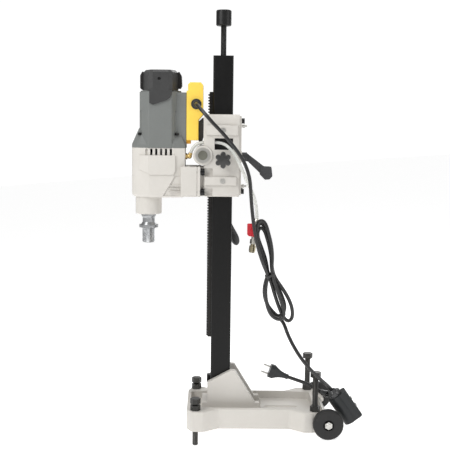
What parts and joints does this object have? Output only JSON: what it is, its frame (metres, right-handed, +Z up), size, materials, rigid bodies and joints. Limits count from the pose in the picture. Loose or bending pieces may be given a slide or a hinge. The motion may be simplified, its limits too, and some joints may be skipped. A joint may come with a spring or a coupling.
{
  "type": "core drill rig",
  "caption": "Electric core drill rig: a motor and gearbox carriage with a feed pinion runs on a square column with a toothed rack, on a cast base with levelling screws and wheels.",
  "frame": {"origin": "centre of the rig's plan box, at the height of the front levelling screws' tips", "axes": "+X from the drill spindle through the column towards the transport wheels, +Y to the side of the feed lever, +Z up the column"},
  "size_m": [0.5811, 0.274, 1.0755],
  "materials": {
    "cast_paint": "warm grey paint on aluminium castings",
    "motor_grey": "fine grained mid grey moulding",
    "cap_black": "satin black moulding",
    "vent_black": "matt black moulding",
    "box_yellow": "yellow moulding",
    "column_black": "semi-gloss black enamel on steel tube",
    "rack_black": "black oxide steel teeth, oiled",
    "bolt_black": "black oxide socket head screws",
    "zinc": "zinc plated screws and nuts",
    "shaft_steel": "turned steel with rings",
    "spindle_chrome": "ground and polished steel",
    "gear_steel": "cut gear steel",
    "lever_grey": "dark grey powder coat",
    "knob_black": "glossy black phenolic",
    "brass": "brass fittings",
    "bush_bronze": "bearing bronze",
    "pad_plastic": "acetal",
    "hose_clear": "milky clear soft hose",
    "tap_red": "red vinyl dipped handle",
    "cord_rubber": "dark grey rubber sheath",
    "wheel_rubber": "solid black rubber",
    "rcd_grey": "dark grey housing",
    "button_grey": "light grey buttons",
    "stator_iron": "laminated iron and windings"
  },
  "bodies": {
    "stand": {"base_casting": "cast_paint", "wheel_axle": "zinc", "axle_nuts": "zinc", "levelling_locknuts": "zinc", "column_tube": "column_black", "column_plugs": "cap_black", "column_screws": "bolt_black", "feed_rack": "rack_black", "travel_stop_block": "rack_black", "mains_cord_lower": "cord_rubber", "mains_cord_hank": "cord_rubber", "cord_tie": "cap_black", "rcd_glands": "button_grey", "rcd_body": "rcd_grey", "plug_cord": "cord_rubber", "plug_body": "cord_rubber", "plug_pins": "brass", "mains_cord_upper": "cord_rubber"},
    "carriage": {"carriage_housing": "cast_paint", "slide_pads": "pad_plastic", "guide_adjusting_screws": "zinc", "carriage_rear_cover": "cast_paint", "carriage_bolts": "bolt_black", "pinion_bushes": "bush_bronze", "gearbox_housing": "cast_paint", "shaft_bearings": "gear_steel", "motor_housing": "motor_grey", "motor_screws": "bolt_black", "stator": "stator_iron", "motor_cap": "cap_black", "cap_side_vents": "vent_black", "switch_box_cover": "box_yellow", "switch_box_back": "box_yellow", "switch_box_bracket": "lever_grey", "switch_box_latch": "cap_black", "cable_gland": "cap_black", "water_elbow": "brass", "water_hose": "hose_clear", "tap_body": "brass", "tap_coupler": "brass"},
    "pinion": {"pinion_shaft": "shaft_steel", "feed_lever": "zinc", "feed_lever_grip": "cap_black"},
    "lock_knob": {"lock_knob": "knob_black"},
    "clamp_lever": {"clamp_lever": "lever_grey"},
    "spindle": {"spindle": "spindle_chrome"},
    "layshaft": {"layshaft_gears": "gear_steel"},
    "rotor": {"rotor": "gear_steel"},
    "power_rocker": {"power_rocker": "cap_black"},
    "tap_lever": {"tap_lever": "tap_red"},
    "jack": {"jack_screw": "zinc", "jack_pad": "zinc"},
    "wheel_near": {"wheel_near": "wheel_rubber"},
    "wheel_far": {"wheel_far": "wheel_rubber"},
    "screw_front_near": {"levelling_screw_front_near": "zinc"},
    "screw_front_far": {"levelling_screw_front_far": "zinc"},
    "screw_rear_near": {"levelling_screw_rear_near": "zinc"},
    "screw_rear_far": {"levelling_screw_rear_far": "zinc"},
    "rcd_test": {"rcd_test_button": "button_grey"},
    "rcd_reset": {"rcd_reset_button": "button_grey"}
  },
  "joints": [
    {"name": "carriage_slide", "type": "slide", "parent": "stand", "child": "carriage", "axis": [0, 0, 1], "range_m": [-0.34, 0.135]},
    {"name": "pinion_turn", "type": "hinge", "parent": "carriage", "child": "pinion", "pos_m": [-0.08725, 0, 0.72], "axis": [0, 1, 0], "range_deg": [-1446, 575]},
    {"name": "lock_knob_turn", "type": "hinge", "parent": "carriage", "child": "lock_knob", "pos_m": [-0.03745, -0.065, 0.7097], "axis": [0, 1, 0], "range_deg": [-270, 0]},
    {"name": "clamp_lever_turn", "type": "hinge", "parent": "carriage", "child": "clamp_lever", "pos_m": [0, 0, 0.716], "axis": [1, 0, 0], "range_deg": [-60, 60]},
    {"name": "spindle_turn", "type": "hinge", "parent": "carriage", "child": "spindle", "pos_m": [-0.22325, 0, 0.6], "axis": [0, 0, 1], "continuous": true},
    {"name": "layshaft_turn", "type": "hinge", "parent": "carriage", "child": "layshaft", "pos_m": [-0.19585, 0.0218, 0.68], "axis": [0, 0, 1], "continuous": true},
    {"name": "rotor_turn", "type": "hinge", "parent": "carriage", "child": "rotor", "pos_m": [-0.19275, 0, 0.8], "axis": [0, 0, 1], "continuous": true},
    {"name": "power_rocker_tilt", "type": "hinge", "parent": "carriage", "child": "power_rocker", "pos_m": [-0.10725, 0.036, 0.857], "axis": [0, 0, 1], "range_deg": [0, 10]},
    {"name": "tap_lever_turn", "type": "hinge", "parent": "carriage", "child": "tap_lever", "pos_m": [0.04238, -0.072, 0.52838], "axis": [0, 1, 0], "range_deg": [0, 90]},
    {"name": "jack_slide", "type": "slide", "parent": "stand", "child": "jack", "axis": [0, 0, 1], "range_m": [-0.07, 0.04]},
    {"name": "wheel_near_spin", "type": "hinge", "parent": "stand", "child": "wheel_near", "pos_m": [0.22775, -0.122, 0.064], "axis": [0, 1, 0], "continuous": true},
    {"name": "wheel_far_spin", "type": "hinge", "parent": "stand", "child": "wheel_far", "pos_m": [0.22775, 0.122, 0.064], "axis": [0, 1, 0], "continuous": true},
    {"name": "screw_front_near_slide", "type": "slide", "parent": "stand", "child": "screw_front_near", "axis": [0, 0, 1], "range_m": [-0.003, 0.06]},
    {"name": "screw_front_far_slide", "type": "slide", "parent": "stand", "child": "screw_front_far", "axis": [0, 0, 1], "range_m": [-0.003, 0.06]},
    {"name": "screw_rear_near_slide", "type": "slide", "parent": "stand", "child": "screw_rear_near", "axis": [0, 0, 1], "range_m": [-0.072, 0.012]},
    {"name": "screw_rear_far_slide", "type": "slide", "parent": "stand", "child": "screw_rear_far", "axis": [0, 0, 1], "range_m": [-0.072, 0.012]},
    {"name": "rcd_test_press", "type": "slide", "parent": "stand", "child": "rcd_test", "axis": [-0.8144, 0, -0.5803], "range_m": [0, 0.0018], "stiffness_N_per_m": 400},
    {"name": "rcd_reset_press", "type": "slide", "parent": "stand", "child": "rcd_reset", "axis": [-0.8144, 0, -0.5803], "range_m": [0, 0.0018], "stiffness_N_per_m": 400}
  ],
  "couplings": [
    {"joint": "pinion_turn", "follows": "carriage_slide", "rad_per_m": 74.074},
    {"joint": "layshaft_turn", "follows": "spindle_turn", "ratio": -2.3333},
    {"joint": "rotor_turn", "follows": "spindle_turn", "ratio": 7.9333}
  ]
}
